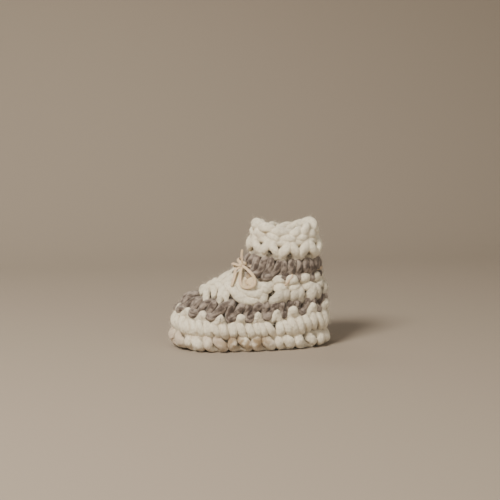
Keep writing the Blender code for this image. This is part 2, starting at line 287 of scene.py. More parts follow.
def smooth_route(points: np.ndarray, per_span: int) -> np.ndarray:
    """A smooth curve through a route's own points.

    Args:
        points: The route's points, as rows.
        per_span: How many steps to take between two points.

    Returns:
        The points of the curve, as rows.
    """
    held = np.vstack([2 * points[0] - points[1], points, 2 * points[-1] - points[-2]])
    steps = np.arange(per_span) / per_span
    route = [curve_point(*held[i : i + 4], t) for i in range(len(points) - 1) for t in steps]
    return np.array([*route, points[-1]])


def add_object(name: str, data: bpy.types.ID) -> bpy.types.Object:
    """Adds an object to the scene.

    Args:
        name: Its name.
        data: Its mesh, light or camera.

    Returns:
        The new object.
    """
    thing = bpy.data.objects.new(name, data)
    bpy.context.scene.collection.objects.link(thing)
    return thing


def add_piece(
    data: bpy.types.Mesh, material: bpy.types.Material, slot: str, *nodes: str
) -> bpy.types.Object:
    """Adds a mesh to the scene as a piece of the slipper.

    Args:
        data: The piece's mesh, named for the piece.
        material: Its finish.
        slot: The record's material slot. Not used.
        *nodes: The solids that it replaces.

    Returns:
        The new piece, riding on the slipper.
    """
    piece = add_object(data.name, data)
    data.materials.append(material)
    data.shade_smooth()
    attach(piece, BODY)
    if nodes:
        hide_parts(*nodes)
    LOG.info("%s: %d faces", piece.name, len(data.polygons))
    return piece


@dataclass
class SlipperForm:
    """The knitted wall's surface, from the sole's seam (course 0) to the rim (course 8).

    A place on it is a turn, 0 at the toe and round the near side to 1, and a course.
    """

    length: float
    ball_width: float
    shaft_width: float = 46 * MM
    collar_height: float = 95 * MM
    wall: float = 5 * MM
    ridge: float = 2.5 * MM
    seam_height: float = 10.3 * MM
    toe_spring: float = 1.5 * MM
    spring_start: float = 0.30
    columns: int = 512
    rows_per_course: int = 16
    outline_steps: int = 241
    points: np.ndarray = field(init=False)
    normals: np.ndarray = field(init=False)
    rises: np.ndarray = field(init=False)

    def __post_init__(self) -> None:
        """Works out the surface's points and directions on a fine grid."""
        self.top = len(GROOVES) - 1
        courses = np.linspace(0, self.top, self.top * self.rows_per_course + 1)
        self.points = np.array([self._ring(course) for course in courses])
        sideways = np.roll(self.points, -1, axis=1) - np.roll(self.points, 1, axis=1)
        self.rises = np.gradient(self.points, axis=0) * self.rows_per_course
        self.normals = unit(np.cross(sideways, self.rises))

    def value(self, column: str, course: float) -> float:
        """One column of the table of grooves, read smoothly between its rows.

        Args:
            column: The column's name.
            course: Where to read it.

        Returns:
            The value there.
        """
        values = [getattr(groove, column) for groove in GROOVES]
        held = [2 * values[0] - values[1], *values, 2 * values[-1] - values[-2]]
        low = min(self.top - 1, max(0, math.floor(course)))
        return curve_point(*held[low : low + 4], course - low)

    def _ring(self, course: float) -> np.ndarray:
        """The surface's points round one course.

        Args:
            course: The ring's course.

        Returns:
            One point a column, evenly spaced by length on each side.
        """
        reach = self.length - 2 * self.ridge
        front, widest, back = (
            reach * (self.value(name, course) - 0.5) for name in ("front", "widest", "back")
        )
        half = self.value("foot", course) * (self.ball_width / 2 - self.ridge)
        half += self.value("shaft", course) * (self.shaft_width / 2 - self.ridge)
        angle = np.linspace(0.0, math.pi, self.outline_steps)
        toe_half = angle <= math.pi / 2
        span = np.where(toe_half, widest - front, back - widest)
        round_toe, round_heel = (self.value(n, course) for n in ("round_toe", "round_heel"))
        power = 2 / np.where(toe_half, round_toe, round_heel)
        x = widest - np.sign(np.cos(angle)) * np.abs(np.cos(angle)) ** power * span
        y = half * np.maximum(np.sin(angle), 0.0) ** power
        along = np.concatenate([[0.0], np.cumsum(np.hypot(np.diff(x), np.diff(y)))])
        turn = np.arange(self.columns) / self.columns
        share = np.where(turn <= 0.5, 2 * turn, 2 - 2 * turn)
        ring_x = np.interp(share, along / along[-1], x)
        ring_y = np.interp(share, along / along[-1], y) * np.where(turn <= 0.5, -1, 1)
        side = self.value("side", course)
        toe, heel = self.value("toe", course), self.value("heel", course)
        end = np.where(share <= 0.5, toe, heel)
        level = side + (end - side) * np.cos(math.pi * share) ** 2
        z = self.seam_height + level * (self.collar_height - self.wall / 2 - self.seam_height)
        return np.stack([ring_x, ring_y, z + self.toe_lift(ring_x)], axis=1)

    def toe_lift(self, x: np.ndarray) -> np.ndarray:
        """The toe spring: nothing from the ball back, then a smooth rise to the tip."""
        share = (self.length * (self.spring_start - 0.5) - x) / (self.length * self.spring_start)
        return self.toe_spring * np.maximum(0.0, share) ** 2

    def _read(self, grid: np.ndarray, turn: np.ndarray, course: np.ndarray) -> np.ndarray:
        """Reads a grid between its points.

        Args:
            grid: The grid, by course row and turn column.
            turn: Where to read it round the slipper.
            course: Where to read it up the slipper.

        Returns:
            One row for each place.
        """
        column = np.mod(turn, 1.0) * self.columns
        row = np.clip(course, 0, self.top) * self.rows_per_course
        left = np.floor(column).astype(int)
        low = np.minimum(np.floor(row).astype(int), len(grid) - 2)
        s, t = (column - left)[:, None], (row - low)[:, None]
        left, right = left % self.columns, (left + 1) % self.columns
        lower = grid[low, left] * (1 - s) + grid[low, right] * s
        upper = grid[low + 1, left] * (1 - s) + grid[low + 1, right] * s
        return lower * (1 - t) + upper * t

    def place(
        self, turn: np.ndarray, course: np.ndarray | float, out: np.ndarray | float
    ) -> tuple[np.ndarray, np.ndarray]:
        """Places on and off the surface.

        Args:
            turn: Where round the slipper.
            course: Where up it; past either end it goes on straight.
            out: How far outside the grooves' surface.

        Returns:
            The points, and the outward normals there.
        """
        course = np.broadcast_to(course, turn.shape)
        out = np.broadcast_to(out, turn.shape)
        normal = unit(self._read(self.normals, turn, course))
        beyond = (course - np.clip(course, 0, self.top))[:, None]
        point = self._read(self.points, turn, course)
        point = point + self._read(self.rises, turn, course) * beyond
        return point + normal * out[:, None], normal

    def edge_place(
        self, turn: np.ndarray, height: np.ndarray, out: np.ndarray
    ) -> tuple[np.ndarray, np.ndarray]:
        """Places on and off the sole's rolled edge.

        Args:
            turn: Where round the slipper.
            height: How far above the floor.
            out: How far outside the edge's surface.

        Returns:
            The points, and the outward normals there, which are level.
        """
        seam, normal = self.place(turn, 0.0, 0.0)
        normal[:, 2] = 0.0
        normal = unit(normal)
        roll = np.interp(height, [p.up for p in SOLE_EDGE], [p.out for p in SOLE_EDGE])
        point = seam + normal * (roll + out)[:, None]
        point[:, 2] = height + self.toe_lift(seam[:, 0])
        return point, normal

    def turn_of(self, along: float | np.ndarray, side: Side) -> float | np.ndarray:
        """The turn at a share of the way from toe to heel."""
        return along / 2 if side is Side.NEAR else 1 - along / 2

    def tie_point(self, place: SurfacePoint, side: Side, width: float) -> np.ndarray:
        """A point of the tie's route over the ridges.

        Args:
            place: The point, by share, course and lift.
            side: The side it lies on.
            width: The tie's width.

        Returns:
            The point's X, Y and Z.
        """
        lift = self.ridge + place.lift * width + width / 2
        return self.place(np.array([self.turn_of(place.along, side)]), place.course, lift)[0][0]


@dataclass
class Strand:
    """A length of yarn or thong: a soft oval section carried along a line."""

    centre: np.ndarray
    out: np.ndarray
    wide: float
    thick: float
    closed: bool = False
    depth: np.ndarray | float = 0.0
    grey: float = 0.0
    # How much painted floor shade, a pinkish tan of shade and floor-bounce light, each point takes.
    painted_floor_shade: np.ndarray | float = 0.0
    seed: int = 0
    lumps: float = 0.045
    lump_length: float = 4.5 * MM
    sides: int = 16
    plies: int = 2
    ply_depth: float = 0.16
    ply_roundness: float = 0.7
    twist: float = 210.0
    swell: np.ndarray | float = 1.0
    lowest: float | None = None

    def directions(self) -> tuple[np.ndarray, np.ndarray, np.ndarray]:
        """The line's own directions.

        Returns:
            The ways along it, across it and outwards at each of its points.
        """
        if self.closed:
            ahead = np.roll(self.centre, -1, axis=0) - np.roll(self.centre, 1, axis=0)
        else:
            ahead = np.gradient(self.centre, axis=0)
        ahead = unit(ahead)
        across = unit(np.cross(ahead, self.out))
        return ahead, across, np.cross(across, ahead)

    def run(self) -> np.ndarray:
        """How far along the line each of its points lies."""
        steps = np.linalg.norm(np.diff(self.centre, axis=0), axis=1)
        return np.concatenate([[0.0], np.cumsum(steps)])

    def rings(self) -> tuple[np.ndarray, np.ndarray]:
        """The surface round each point of the line.

        Returns:
            The points, by ring and side, and how far each stands out from the line.
        """
        _, across, outward = self.directions()
        run = self.run()
        twist = self.twist
        if self.closed:
            whole = run[-1] + np.linalg.norm(self.centre[0] - self.centre[-1])
            twist = round(twist * whole / (2 * math.pi)) * 2 * math.pi / whole
        angle = np.linspace(0, 2 * math.pi, self.sides, endpoint=False)[None, :]
        ply_angle = self.plies / 2 * (angle - twist * run[:, None] / max(1, self.plies / 2))
        lobe = 1 - self.ply_depth * (1 - np.abs(np.cos(ply_angle)) ** self.ply_roundness)
        size = np.broadcast_to(self.swell, run.shape)[:, None] * (lobe + self._lumps(run, angle))
        if not self.closed:
            size = size * self._rounded_ends(run)[:, None]
        sideways = (np.cos(angle) * self.wide / 2 * size)[..., None]
        up = np.sin(angle) * self.thick / 2 * size
        surface = self.centre[:, None] + across[:, None] * sideways
        surface = surface + outward[:, None] * up[..., None]
        if self.lowest is not None:
            surface[..., 2] = np.maximum(surface[..., 2], self.lowest)
        return surface, up

    def _lumps(self, run: np.ndarray, angle: np.ndarray) -> np.ndarray:
        """Soft lumps that no two stretches of the yarn share.

        Args:
            run: How far along the line each ring lies.
            angle: The places round a ring, as one row.

        Returns:
            Changes of size, by ring and side.
        """
        rng = np.random.default_rng(self.seed)
        knots = max(4, int(run[-1] / (self.lump_length)))
        total = np.zeros((len(run), self.sides))
        for order in (1, 2, 3, 4):
            height = wander(len(run), knots, rng)[:, None]
            total += height * np.cos(order * angle + rng.uniform(0, 2 * math.pi))
        return self.lumps * total

    def _rounded_ends(self, run: np.ndarray) -> np.ndarray:
        """How the section shrinks to a round end over half its thickness."""
        near = np.minimum(run, run[-1] - run) / (self.thick / 2)
        return np.sqrt(np.clip(1 - (1 - np.clip(near, 0.02, 1.0)) ** 2, 0.0, 1.0))


class StrandMesh:
    """Joins strands into one mesh, with the values that the wool's finish reads, among them painted
    shade for the crevices and the bottom row.
    """

    # How deep in the fabric a point must lie to take the full painted crevice shade.
    FULL_SHADE_DEPTH = 7.0 * MM
    FABRIC = 9.2 * MM
    UV_UNIT = 10 * MM
    FIBRE_SLANT = 0.35

    def __init__(self) -> None:
        """Starts an empty mesh."""
        self.vertices: list[np.ndarray] = []
        self.quads: list[np.ndarray] = []
        self.uvs: list[np.ndarray] = []
        self.values: dict[str, list[np.ndarray]] = {"grey": [], "painted_floor_shade": [], "crevice_shade": []}
        self.count = 0

    def add(self, strand: Strand) -> None:
        """Adds one strand.

        Args:
            strand: The strand.
        """
        surface, up = strand.rings()
        rings, sides = surface.shape[:2]
        last = rings if strand.closed else rings - 1
        i = np.arange(last)[:, None]
        j = np.arange(sides)[None, :]
        after, beside = (i + 1) % rings, (j + 1) % sides
        corners = [i * sides + j, after * sides + j, after * sides + beside, i * sides + beside]
        quads = np.stack([np.broadcast_to(c, (last, sides)) for c in corners], axis=-1)
        self.quads.append(quads.reshape(-1, 4) + self.count)
        run = np.append(strand.run(), 0.0)
        run[-1] = run[-2] + np.linalg.norm(strand.centre[0] - strand.centre[-1])
        girth = math.pi * (strand.wide + strand.thick) / 2
        u0 = np.broadcast_to(run[:last][:, None], (last, sides))
        u1 = np.broadcast_to(run[1 : last + 1][:, None], (last, sides))
        v0 = np.broadcast_to(girth * j / sides, (last, sides))
        v1 = v0 + girth / sides
        pairs = ((u0, v0), (u1, v0), (u1, v1), (u0, v1))
        uv = np.stack([np.stack([u, v + self.FIBRE_SLANT * u], axis=-1) for u, v in pairs], axis=2)
        self.uvs.append(uv.reshape(-1, 2) / self.UV_UNIT)
        self.vertices.append(surface.reshape(-1, 3))
        # Painted shade: points that lie deeper in the fabric get a darker colour, as if shaded.
        below = -(np.broadcast_to(strand.depth, rings)[:, None] + up)
        buried = np.minimum(below, self.FABRIC - below)
        self.values["grey"].append(np.full(rings * sides, strand.grey))
        self.values["painted_floor_shade"].append(np.repeat(np.broadcast_to(strand.painted_floor_shade, rings), sides))
        self.values["crevice_shade"].append(np.clip(buried / self.FULL_SHADE_DEPTH, 0, 1).ravel())
        self.count += rings * sides
        if not strand.closed:
            self._close_ends(strand)

    def _close_ends(self, strand: Strand) -> None:
        """Closes both ends of an open strand with a fan that is written as quads.

        Args:
            strand: The strand, whose rings were the last added.
        """
        surface = self.vertices[-1]
        sides = strand.sides
        for first, flip in ((0, True), (len(surface) - sides, False)):
            middle = surface[first : first + sides].mean(axis=0)
            self.vertices.append(middle[None])
            for name, value in (("grey", strand.grey), ("painted_floor_shade", 0.0), ("crevice_shade", 0.5)):
                self.values[name].append(np.full(1, value))
            start = self.count - len(surface) + first
            j = np.arange(0, sides, 2)
            a, b, c = start + j, start + (j + 1) % sides, start + (j + 2) % sides
            hub = np.full_like(a, self.count + (0 if flip else 1))
            fan = np.stack([a, b, c, hub] if flip else [c, b, a, hub], axis=-1)
            self.quads.append(fan)
            self.uvs.append(np.zeros((4 * len(fan), 2)))
        self.count += 2

    def build(self, name: str) -> bpy.types.Mesh:
        """Makes the mesh.

        Args:
            name: The mesh's name.

        Returns:
            The mesh, with its UV map and its values for each point.
        """
        data = bpy.data.meshes.new(name)
        vertices = np.concatenate(self.vertices)
        quads = np.concatenate(self.quads)
        data.vertices.add(len(vertices))
        data.vertices.foreach_set("co", vertices.ravel())
        data.loops.add(quads.size)
        data.loops.foreach_set("vertex_index", quads.ravel().astype(np.int32))
        data.polygons.add(len(quads))
        data.polygons.foreach_set("loop_start", np.arange(len(quads), dtype=np.int32) * 4)
        data.update(calc_edges=True)
        layer = data.uv_layers.new(name="strand")
        layer.data.foreach_set("uv", np.concatenate(self.uvs).ravel())
        for name, values in self.values.items():
            attribute = data.attributes.new(name, "FLOAT", "POINT")
            attribute.data.foreach_set("value", np.concatenate(values).astype(np.float32))
        data.validate()
        return data


def yarn_piece(
    name: str, strands: list[Strand], material: bpy.types.Material, slot: str, *nodes: str
) -> bpy.types.Object:
    """Adds a piece that is made of strands.

    Args:
        name: The piece's name.
        strands: Its strands.
        material: Its finish.
        slot: The record's material slot.
        *nodes: The solids that it replaces.

    Returns:
        The new piece.
    """
    mesh = StrandMesh()
    for strand in strands:
        mesh.add(strand)
    return add_piece(mesh.build(name), material, slot, *nodes)


def grid_mesh(name: str, rings: list[np.ndarray]) -> bpy.types.Mesh:
    """A mesh from closed rings of points.

    Args:
        name: The mesh's name.
        rings: The rings, each with as many points.

    Returns:
        The mesh, open at its first and last ring.
    """
    count, around = len(rings), len(rings[0])
    i = np.arange(count - 1)[:, None]
    j = np.arange(around)[None, :]
    beside = (j + 1) % around
    corners = [i * around + j, i * around + beside, (i + 1) * around + beside, (i + 1) * around + j]
    quads = np.stack([np.broadcast_to(c, (count - 1, around)) for c in corners], axis=-1)
    data = bpy.data.meshes.new(name)
    data.from_pydata(np.concatenate(rings).tolist(), [], quads.reshape(-1, 4).tolist())
    return data


class Shader:
    """A material's nodes, with short calls to add and join them."""

    def __init__(self, name: str) -> None:
        """Starts a material.

        Args:
            name: The material's name.
        """
        self.material = bpy.data.materials.new(name)
        self.material.use_nodes = True
        self.tree = self.material.node_tree
        self.surface = self.tree.nodes["Principled BSDF"]
        self.place = self.add("TexCoord").outputs["Object"]

    def add(self, kind: str, settings: dict | None = None, **values: object) -> bpy.types.Node:
        """Adds a node.

        Args:
            kind: The node's type, without its prefix.
            settings: The node's own properties.
            **values: Its sockets by name, with underscores for spaces: a constant, or a
                socket to join.

        Returns:
            The node.
        """
        node = self.tree.nodes.new("ShaderNode" + kind)
        for name, value in (settings or {}).items():
            setattr(node, name, value)
        for name, value in values.items():
            self.set(node, name.replace("_", " "), value)
        return node

    def set(self, node: bpy.types.Node, name: str, value: object) -> None:
        """Sets or joins one socket.

        Args:
            node: The node.
            name: The socket's name, or its number as text.
            value: A constant, or a socket to join.
        """
        socket = node.inputs[int(name)] if name.isdigit() else node.inputs[name]
        if isinstance(value, bpy.types.NodeSocket):
            self.tree.links.new(value, socket)
        else:
            socket.default_value = value

    def math(self, operation: str, first: object, second: object) -> bpy.types.NodeSocket:
        """One sum of two values."""
        return self.add("Math", {"operation": operation}, **{"0": first, "1": second}).outputs[0]

    def mix(self, share: object, first: object, second: object) -> bpy.types.NodeSocket:
        """A mix of two colours, of which the share is the second."""
        return self.add("Mix", {"data_type": "RGBA"}, **{"0": share, "6": first, "7": second}).outputs[2]

    def tint(self, colour: object, other: object, share: object, most: float) -> bpy.types.NodeSocket:
        """A colour with another mixed in by a pattern's share, and by most where it is full."""
        return self.mix(self.math("MULTIPLY", share, most), colour, other)

    def ramp(self, share: object, low: float, high: float) -> bpy.types.NodeSocket:
        """Spreads a value softly so that low gives 0 and high gives 1."""
        sockets = {"Value": share, "From Min": low, "From Max": high}
        return self.add("MapRange", {"interpolation_type": "SMOOTHSTEP"}, **sockets).outputs[0]

    def noise(self, vector: object, scale: float, detail: float) -> bpy.types.NodeSocket:
        """A noise texture's value, finer with more scale and rougher with more detail."""
        return self.add("TexNoise", Vector=vector, Scale=scale, Detail=detail).outputs[0]

    def stretched(self, vector: object, scale: Triple) -> bpy.types.NodeSocket:
        """Coordinates, scaled by a different factor each way."""
        return self.add("Mapping", Vector=vector, Scale=scale).outputs[0]

    def value(self, name: str) -> bpy.types.NodeSocket:
        """One of the values that a strand's mesh holds for each point."""
        return self.add("Attribute", {"attribute_name": name}).outputs["Fac"]

    def bump(self, height: object, strength: float, deepest: float) -> bpy.types.NodeSocket:
        """The bump of a height."""
        return self.add("Bump", Strength=strength, Distance=deepest, Height=height).outputs[0]

    def dress(self, **values: object) -> bpy.types.Material:
        """Sets the surface's own sockets.

        Args:
            **values: The sockets by name, as in add.

        Returns:
            The finished material.
        """
        for name, value in values.items():
            self.set(self.surface, name.replace("_", " "), value)
        return self.material


@dataclass(frozen=True)
class WoolFinish:
    """Soft undyed wool: streaks of fibres, cloudy colour, sheen, a stain low down, and painted shade in
    the crevices, on the bottom row and on one cream row.
    """

    cream: Colour = (0.88, 0.80, 0.62, 1)
    cream_shadow: Colour = (0.55, 0.44, 0.30, 1)
    grey_light: Colour = (0.36, 0.29, 0.235, 1)
    grey_dark: Colour = (0.085, 0.060, 0.047, 1)
    # A dark brown painted into the crevices between strands as shade.
    painted_valley_shade: Colour = (0.085, 0.055, 0.034, 1)
    # A pinkish tan painted on the bottom row as shade and floor-bounce light.
    painted_floor_shade: Colour = (0.50, 0.37, 0.27, 1)
    stain: Colour = (0.25, 0.155, 0.065, 1)
    stain_place: Triple = (-8 * MM, -31 * MM, 7.5 * MM)
    stain_reach: Triple = (31 * MM, 17 * MM, 8 * MM)
    rubbed: Colour = (0.64, 0.46, 0.25, 1)
    rubbed_place: Triple = (-5.5 * MM, -24 * MM, 52 * MM)
    rubbed_reach: Triple = (7.5 * MM, 9 * MM, 9 * MM)
    roughness: float = 0.95
    relief: float = 0.8 * MM

    def make(self) -> bpy.types.Material:
        """Makes the wool's material.

        Returns:
            The material, for every strand of yarn.
        """
        shader = Shader("knitting_wool")
        place = shader.place
        strand = shader.add("UVMap", {"uv_map": "strand"}).outputs[0]
        fibres = shader.noise(shader.stretched(strand, (0.9, 14.0, 1.0)), 1.6, 3.0)
        coarse = shader.noise(shader.stretched(strand, (0.5, 4.0, 1.0)), 1.0, 1.0)
        cloud = shader.noise(place, 60.0, 2.0)
        tufts = shader.noise(place, 480.0, 2.0)
        streak = shader.ramp(fibres, 0.36, 0.66)
        cream = shader.tint(self.cream, self.cream_shadow, streak, 0.24)
        cream = shader.tint(cream, self.cream_shadow, shader.ramp(cloud, 0.40, 0.68), 0.16)
        cream = shader.tint(cream, self.cream_shadow, shader.ramp(tufts, 0.46, 0.66), 0.34)
        # Painted shade and floor-bounce tint on the bottom row, patchy with the cloud.
        floor_shade_share = shader.math("MULTIPLY", shader.value("painted_floor_shade"), shader.ramp(cloud, 0.25, 0.62))
        cream = shader.tint(cream, self.painted_floor_shade, floor_shade_share, 0.75)
        marl = shader.math("MULTIPLY", shader.noise(place, 260.0, 2.0), 1.3)
        marl = shader.ramp(shader.math("ADD", marl, coarse), 0.92, 1.36)
        grey = shader.mix(marl, self.grey_dark, self.grey_light)
        grey = shader.tint(grey, self.grey_dark, streak, 0.40)
        colour = shader.mix(shader.ramp(shader.value("grey"), 0.2, 0.8), cream, grey)
        spot = self._spot(shader, self.rubbed_place, self.rubbed_reach)
        colour = shader.tint(colour, self.rubbed, spot, 0.75)
        spot = self._spot(shader, self.stain_place, self.stain_reach)
        patchy = shader.ramp(shader.noise(place, 190.0, 3.0), 0.32, 0.58)
        colour = shader.tint(colour, self.stain, shader.math("MULTIPLY", spot, patchy), 0.85)
        # Painted shade: the crevices between strands darken with depth.
        colour = shader.tint(colour, self.painted_valley_shade, shader.ramp(shader.value("crevice_shade"), 0.15, 0.58), 0.90)
        fine = shader.math("MULTIPLY", shader.noise(place, 2600.0, 2.0), 0.35)
        tufted = shader.math("MULTIPLY", tufts, 1.1)
        height = shader.math("ADD", shader.math("ADD", fibres, fine), tufted)
        return shader.dress(
            Base_Color=colour, Roughness=self.roughness, Specular_IOR_Level=0.15,
            Sheen_Weight=0.30, Sheen_Roughness=0.55, Sheen_Tint=(1.0, 0.95, 0.86, 1),
            Normal=shader.bump(height, 1.0, self.relief),
        )

    def _spot(self, shader: Shader, middle: Triple, reach: Triple) -> bpy.types.NodeSocket:
        """A soft spot in the colour.

        Args:
            shader: The wool's nodes.
            middle: Where the spot lies.
            reach: How far it goes each way.

        Returns:
            How much the spot colours each place.
        """
        scale = tuple(1 / r for r in reach)
        shift = tuple(-m / r for m, r in zip(middle, reach))
        local = shader.add("Mapping", Vector=shader.place, Location=shift, Scale=scale).outputs[0]
        away = shader.add("VectorMath", {"operation": "LENGTH"}, **{"0": local}).outputs[1]
        return shader.ramp(away, 1.0, 0.3)


@dataclass(frozen=True)
class ShadeBackingFinish:
    """A dark sheet with a felted look behind the stitches: painted shade that shows through the gaps
    between them.
    """

    # Near-black brown with lighter patches: painted shade for the gaps between stitches.
    colour: Colour = (0.060, 0.040, 0.026, 1)
    lighter: Colour = (0.12, 0.085, 0.058, 1)

    def make(self) -> bpy.types.Material:
        """Makes the backing's material.

        Returns:
            The material.
        """
        shader = Shader("painted_shade_backing")
        cloud = shader.ramp(shader.noise(shader.place, 400.0, 3.0), 0.35, 0.65)
        colour = shader.mix(cloud, self.colour, self.lighter)
        return shader.dress(
            Base_Color=colour, Roughness=1.0, Normal=shader.bump(cloud, 0.6, 0.6 * MM)
        )


@dataclass(frozen=True)
class FeltFinish:
    """Pressed wool felt: matt, with short tangled fibres."""

    colour: Colour = (0.60, 0.53, 0.42, 1)
    darker: Colour = (0.42, 0.35, 0.26, 1)

    def make(self) -> bpy.types.Material:
        """Makes the felt's material.

        Returns:
            The material.
        """
        shader = Shader("insole_felt")
        warp = shader.add("TexNoise", Vector=shader.place, Scale=300.0, Detail=2.0)
        bent = shader.mix(0.02, shader.place, warp.outputs[1])
        tangle = shader.noise(shader.stretched(bent, (1.0, 3.0, 3.0)), 900.0, 4.0)
        return shader.dress(
            Base_Color=shader.mix(shader.ramp(tangle, 0.35, 0.70), self.colour, self.darker),
            Roughness=0.97, Sheen_Weight=0.25, Normal=shader.bump(tangle, 0.5, 0.4 * MM),
        )


@dataclass(frozen=True)
class SuedeFinish:
    """Tan suede: a short nap with lighter and darker brushed patches."""

    colour: Colour = (0.56, 0.42, 0.25, 1)
    brushed: Colour = (0.62, 0.45, 0.31, 1)
    edge: Colour = (0.36, 0.24, 0.13, 1)

    def make(self) -> bpy.types.Material:
        """Makes the suede's material.

        Returns:
            The material.
        """
        shader = Shader("tie_suede")
        nap = shader.noise(shader.place, 2200.0, 3.0)
        cloud = shader.ramp(shader.noise(shader.place, 260.0, 2.0), 0.38, 0.64)
        colour = shader.mix(cloud, self.colour, self.brushed)
        return shader.dress(
            Base_Color=shader.tint(colour, self.edge, shader.ramp(nap, 0.5, 0.75), 0.35),
            Roughness=0.88, Sheen_Weight=0.45, Sheen_Roughness=0.4,
            Sheen_Tint=(1.0, 0.86, 0.70, 1), Normal=shader.bump(nap, 0.4, 0.25 * MM),
        )


@dataclass(frozen=True)
class FloorFinish:
    """A plain pale warm sheet."""

    colour: Colour = (0.28, 0.231, 0.179, 1)
    lighter: float = 1.05

    def make(self) -> bpy.types.Material:
        """Makes the floor's material.

        Returns:
            The material.
        """
        shader = Shader("pale_sheet")
        grain = shader.noise(shader.place, 900.0, 3.0)
        light = tuple(min(1.0, c * self.lighter) for c in self.colour[:3]) + (1,)
        colour = shader.mix(grain, self.colour, light)
        return shader.dress(Base_Color=colour, Roughness=0.9, Specular_IOR_Level=0.2)


@dataclass
class YarnGauge:
    """The yarn's sizes, how it lies in the wall, and how unevenly it is knitted."""

    wide: float = 6.6 * MM
    thick: float = 5.4 * MM
    weave: float = 1.9 * MM
    proud: float = 3.0 * MM
    points_per_stitch: int = 36
    uneven_slant: float = 0.05
    uneven_lean: float = 0.11
    uneven_height: float = 0.16
    uneven_course: float = 0.06
    uneven_depth: float = 0.5 * MM
    uneven_swell: float = 0.15
    tucked_end: float = 3.5 * MM
    rng: np.random.Generator = field(default_factory=lambda: np.random.default_rng(41))

    @property
    def middle(self) -> float:
        """How far outside the grooves' surface the yarn's middle layer lies."""
        return self.proud - self.thick / 2 - self.weave


@dataclass
class LoopRow:
    """One row of loops round the slipper or part of it."""

    TOE_REACH = 0.09
    BULGE_REACH = 0.03
    DIP_PLACE = 0.17
    DIP_REACH = 0.06
    HEEL_START = 0.26
    HEEL_REACH = 0.10
    # Where the bottom row's painted floor shade fades out toward the heel.
    FLOOR_SHADE_END = 20 * MM
    FLOOR_SHADE_REACH = 40 * MM

    name: str
    course: float
    half_height: float
    layers: Layers
    wool: Wool
    stitches: float
    start: float = 0.0
    end: float = 1.0
    slant: float = 0.12
    pinch: float = 0.0
    shear: float = 0.0
    loose: float = 1.0
    toe_bulge: float = 0.0
    toe_drop: float = 0.0
    dip: float = 0.0
    heel_rise: float = 0.0
    # How much painted floor shade, of shade and floor-bounce light, the row takes toward the toe.
    painted_floor_shade: float = 0.0
    # How far a cream row is greyed as painted shade.
    painted_shade_grey: float = 0.0
    size: float = 1.0

    @property
    def closed(self) -> bool:
        """Whether the row goes all the way round."""
        return self.end - self.start >= 1.0

    def layer(self, phase: np.ndarray) -> np.ndarray:
        """Which layer of the wall each point lies in, smoothly between a loop's parts.

        Args:
            phase: Where in its loop each point lies: 0 at a head, pi at a foot.

        Returns:
            The layer of each point.
        """
        orders = np.arange(len(self.layers))
        angles = math.pi * orders / orders[-1]
        weights = np.linalg.solve(np.cos(np.outer(angles, orders)), np.array(self.layers))
        return np.cos(np.outer(phase, orders)) @ weights

    def phases(self, gauge: YarnGauge) -> np.ndarray:
        """Where each point of the row lies in its loops, a whole turn for each stitch."""
        count = int(round(self.stitches * gauge.points_per_stitch))
        return np.linspace(0, 2 * math.pi * self.stitches, count, endpoint=not self.closed)

    def strand(self, form: SlipperForm, gauge: YarnGauge) -> Strand:
        """The row's strand of yarn.

        Args:
            form: The wall's surface.
            gauge: The yarn's sizes.

        Returns:
            The strand, laid in loops on the form.
        """
        phase = self.phases(gauge)
        count = len(phase)
        knots = max(3, int(self.stitches))
        drift = [wander(count, knots, gauge.rng) for _ in range(5)]
        slant = self.slant + gauge.uneven_slant * self.loose * drift[0]
        lean = gauge.uneven_lean * self.loose * drift[1]
        lean = lean - self.pinch * np.sin(phase) - self.shear * np.cos(phase)
        stitch = phase / (2 * math.pi) + slant * np.sin(2 * phase) + lean
        turn = self.start + (self.end - self.start) / self.stitches * stitch
        height = self.half_height * (1 + gauge.uneven_height * self.loose * drift[2])
        from_toe = np.abs(np.mod(turn + 0.5, 1) - 0.5)
        course = self.course + height * np.cos(phase) + gauge.uneven_course * self.loose * drift[3]
        course = course - self.toe_drop * np.exp(-((from_toe / self.TOE_REACH) ** 2))
        course = course - self.dip * np.exp(-(((from_toe - self.DIP_PLACE) / self.DIP_REACH) ** 2))
        course = course + self.heel_rise * eased((from_toe - self.HEEL_START) / self.HEEL_REACH)
        ridge = 0.3 * form.ridge * np.abs(np.sin(math.pi * np.clip(course, 0, form.top)))
        out = gauge.middle + self.layer(phase) * gauge.weave + ridge
        out = out + gauge.uneven_depth * drift[4]
        out = out + self.toe_bulge * np.exp(-((from_toe / self.BULGE_REACH) ** 2))
        if not self.closed:
            ends = np.minimum(phase, phase[-1] - phase) / (2 * math.pi)
            out = out - gauge.tucked_end * (1 - eased(ends / 0.45))
        centre, normal = self.lay(form, turn, course, out)
        return Strand(
            centre=centre,
            out=normal,
            wide=gauge.wide * self.size,
            thick=gauge.thick * self.size,
            closed=self.closed,
            depth=out - gauge.proud,
            # Grey wool is fully grey; a cream row takes its painted shade grey.
            grey=1.0 if self.wool is Wool.GREY else self.painted_shade_grey,
            painted_floor_shade=self.painted_floor_shade * eased((self.FLOOR_SHADE_END - centre[:, 0]) / self.FLOOR_SHADE_REACH),
            seed=int(gauge.rng.integers(1 << 30)),
            swell=1 + gauge.uneven_swell * wander(count, knots * 3, gauge.rng),
            lowest=LOWEST_YARN,
        )

    def lay(
        self, form: SlipperForm, turn: np.ndarray, course: np.ndarray, out: np.ndarray
    ) -> tuple[np.ndarray, np.ndarray]:
        """Lays the row on the wall."""
        return form.place(turn, course, out)


